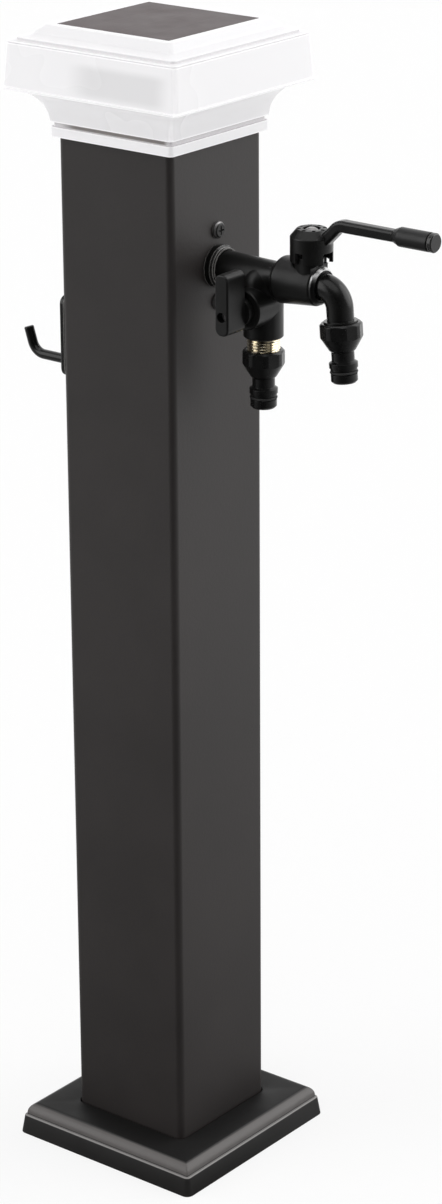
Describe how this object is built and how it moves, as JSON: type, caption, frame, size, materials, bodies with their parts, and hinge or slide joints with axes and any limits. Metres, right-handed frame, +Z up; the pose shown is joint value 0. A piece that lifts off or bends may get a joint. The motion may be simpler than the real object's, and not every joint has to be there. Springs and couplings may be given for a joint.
{
  "type": "garden standpipe",
  "caption": "Square black garden water post with a lever ball tap, a second valved outlet, hose adapters, a hose hook, a base cover and a solar post-cap lamp.",
  "frame": {"origin": "on the floor under the post's axis, at the middle of the four anchor holes", "axes": "+Z up the post, +X the way the tap points, -X the hook side"},
  "size_m": [0.3005, 0.149, 0.7628],
  "materials": {
    "post_finish": "fine-textured satin black powder coat",
    "cover_finish": "satin black moulded plastic",
    "tap_finish": "satin black coated casting",
    "grip_black": "satin black",
    "cap_black": "glossy black",
    "adapter_black": "semi-gloss black moulded plastic",
    "screw_black": "black oxide",
    "brass": "bright machined",
    "steel": "bare",
    "zinc": "zinc plated",
    "braid": "braided stainless wire",
    "rubber": "matt",
    "fibre": "fibre washer",
    "seat_white": "waxy white",
    "ball_chrome": "polished",
    "lens_white": "translucent frosted white",
    "lamp_white": "white moulded plastic",
    "panel_dark": "dark cells under clear resin",
    "board_green": "circuit board",
    "led_clear": "water clear",
    "battery_wrap": "plain sleeve",
    "switch_black": "matt"
  },
  "bodies": {
    "post": {"post_tube": "post_finish", "base_plate": "post_finish", "inlet_socket": "steel", "inlet_nipple": "brass", "riser_hose": "braid", "riser_washers": "fibre", "riser_tails": "brass", "riser_nuts": "brass", "riser_ferrules": "zinc", "wall_elbow": "brass", "elbow_screws": "screw_black", "wall_flange": "tap_finish", "tap_body": "tap_finish", "main_seats": "seat_white", "main_stem_seal": "rubber", "main_gland": "brass", "spout_ring": "steel", "spout": "tap_finish", "spout_seal": "seat_white", "branch_outlet": "brass", "side_seats": "seat_white", "side_stem_seal": "rubber", "side_gland": "brass", "spout_adapter": "adapter_black", "branch_adapter": "adapter_black", "spout_adapter_washer": "rubber", "branch_adapter_washer": "rubber", "spout_adapter_seal": "rubber", "branch_adapter_seal": "rubber", "hook_plate": "tap_finish", "hook_arms": "tap_finish", "hook_screws": "screw_black", "hook_nuts": "zinc"},
    "lever": {"lever": "tap_finish", "lever_screw": "screw_black", "lever_grip": "grip_black", "grip_end_cap": "cap_black", "main_stem": "brass", "main_ball": "ball_chrome"},
    "side_lever": {"side_lever": "tap_finish", "side_lever_screw": "screw_black", "side_stem": "brass", "side_ball": "ball_chrome"},
    "base_cover": {"base_cover": "cover_finish"},
    "lamp": {"lamp_base": "lamp_white", "lamp_lens": "lens_white", "lamp_top_frame": "lamp_white", "solar_panel": "panel_dark", "lamp_core": "lamp_white", "core_lid": "lamp_white", "battery": "battery_wrap", "battery_clips": "zinc", "led_board": "board_green", "leds": "led_clear", "switch_body": "switch_black", "lamp_screws": "zinc"},
    "switch_slider": {"switch_slider": "switch_black"}
  },
  "joints": [
    {"name": "lever_turn", "type": "hinge", "parent": "post", "child": "lever", "pos_m": [0.118, 0, 0.6155], "axis": [0, 0, 1], "range_deg": [-90, 0]},
    {"name": "side_lever_turn", "type": "hinge", "parent": "post", "child": "side_lever", "pos_m": [0.081, 0, 0.5973], "axis": [0, 1, 0], "range_deg": [0, 90]},
    {"name": "base_cover_slide", "type": "slide", "parent": "post", "child": "base_cover", "axis": [0, 0, 1], "range_m": [0, 0.45]},
    {"name": "lamp_lift", "type": "slide", "parent": "post", "child": "lamp", "axis": [0, 0, 1], "range_m": [0, 0.06]},
    {"name": "lamp_switch", "type": "slide", "parent": "lamp", "child": "switch_slider", "axis": [0, 1, 0], "range_m": [0, 0.003]}
  ]
}
